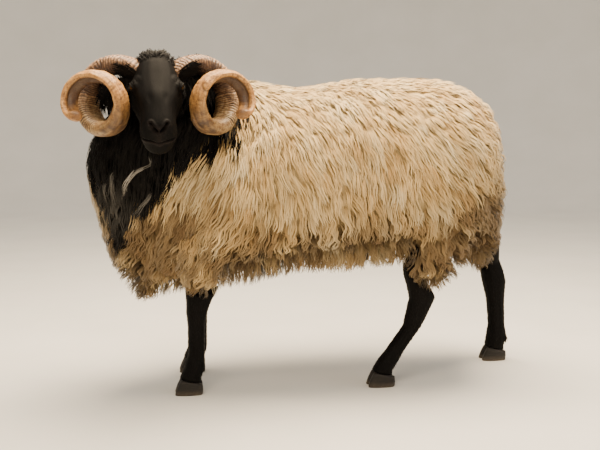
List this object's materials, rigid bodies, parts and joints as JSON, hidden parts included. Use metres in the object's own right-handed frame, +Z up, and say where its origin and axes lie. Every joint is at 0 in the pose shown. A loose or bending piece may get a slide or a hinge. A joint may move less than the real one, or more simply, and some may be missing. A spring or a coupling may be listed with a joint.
{
  "type": "horned sheep",
  "caption": "Standing ram with a long hanging fleece, a dark face and legs, a dark bib and coiled horns, its head turned square to its left side",
  "frame": {"origin": "On the floor, under the middle of the animal's bounding box.", "axes": "+X runs along the body from the breast towards the tail, +Z is up, and -Y is the animal's left side, which its face is turned to."},
  "size_m": [1.2208, 0.583, 0.866],
  "materials": {
    "fleece": "long wavy locks of cream wool, matte",
    "black_hair": "short black hair on face and legs, long black hair on the neck",
    "horn": "ridged tan horn, worn smooth towards the tip",
    "hoof": "dull dark horn with fine growth lines",
    "eye": "wet and glossy, amber iris with a level slit pupil"
  },
  "bodies": {
    "root": {"trunk": "fleece", "neck": "black_hair", "tail": "fleece", "head": "black_hair", "eye_left": "eye", "horn_left": "horn", "ear_left": "black_hair", "eye_right": "eye", "horn_right": "horn", "ear_right": "black_hair", "foreleg_left": "black_hair", "foreleg_left_claw_inner": "hoof", "foreleg_left_claw_outer": "hoof", "hindleg_left": "black_hair", "hindleg_left_claw_inner": "hoof", "hindleg_left_claw_outer": "hoof", "hindleg_right": "black_hair", "hindleg_right_claw_inner": "hoof", "hindleg_right_claw_outer": "hoof", "foreleg_right": "black_hair", "foreleg_right_claw_inner": "hoof", "foreleg_right_claw_outer": "hoof"}
  },
  "joints": []
}
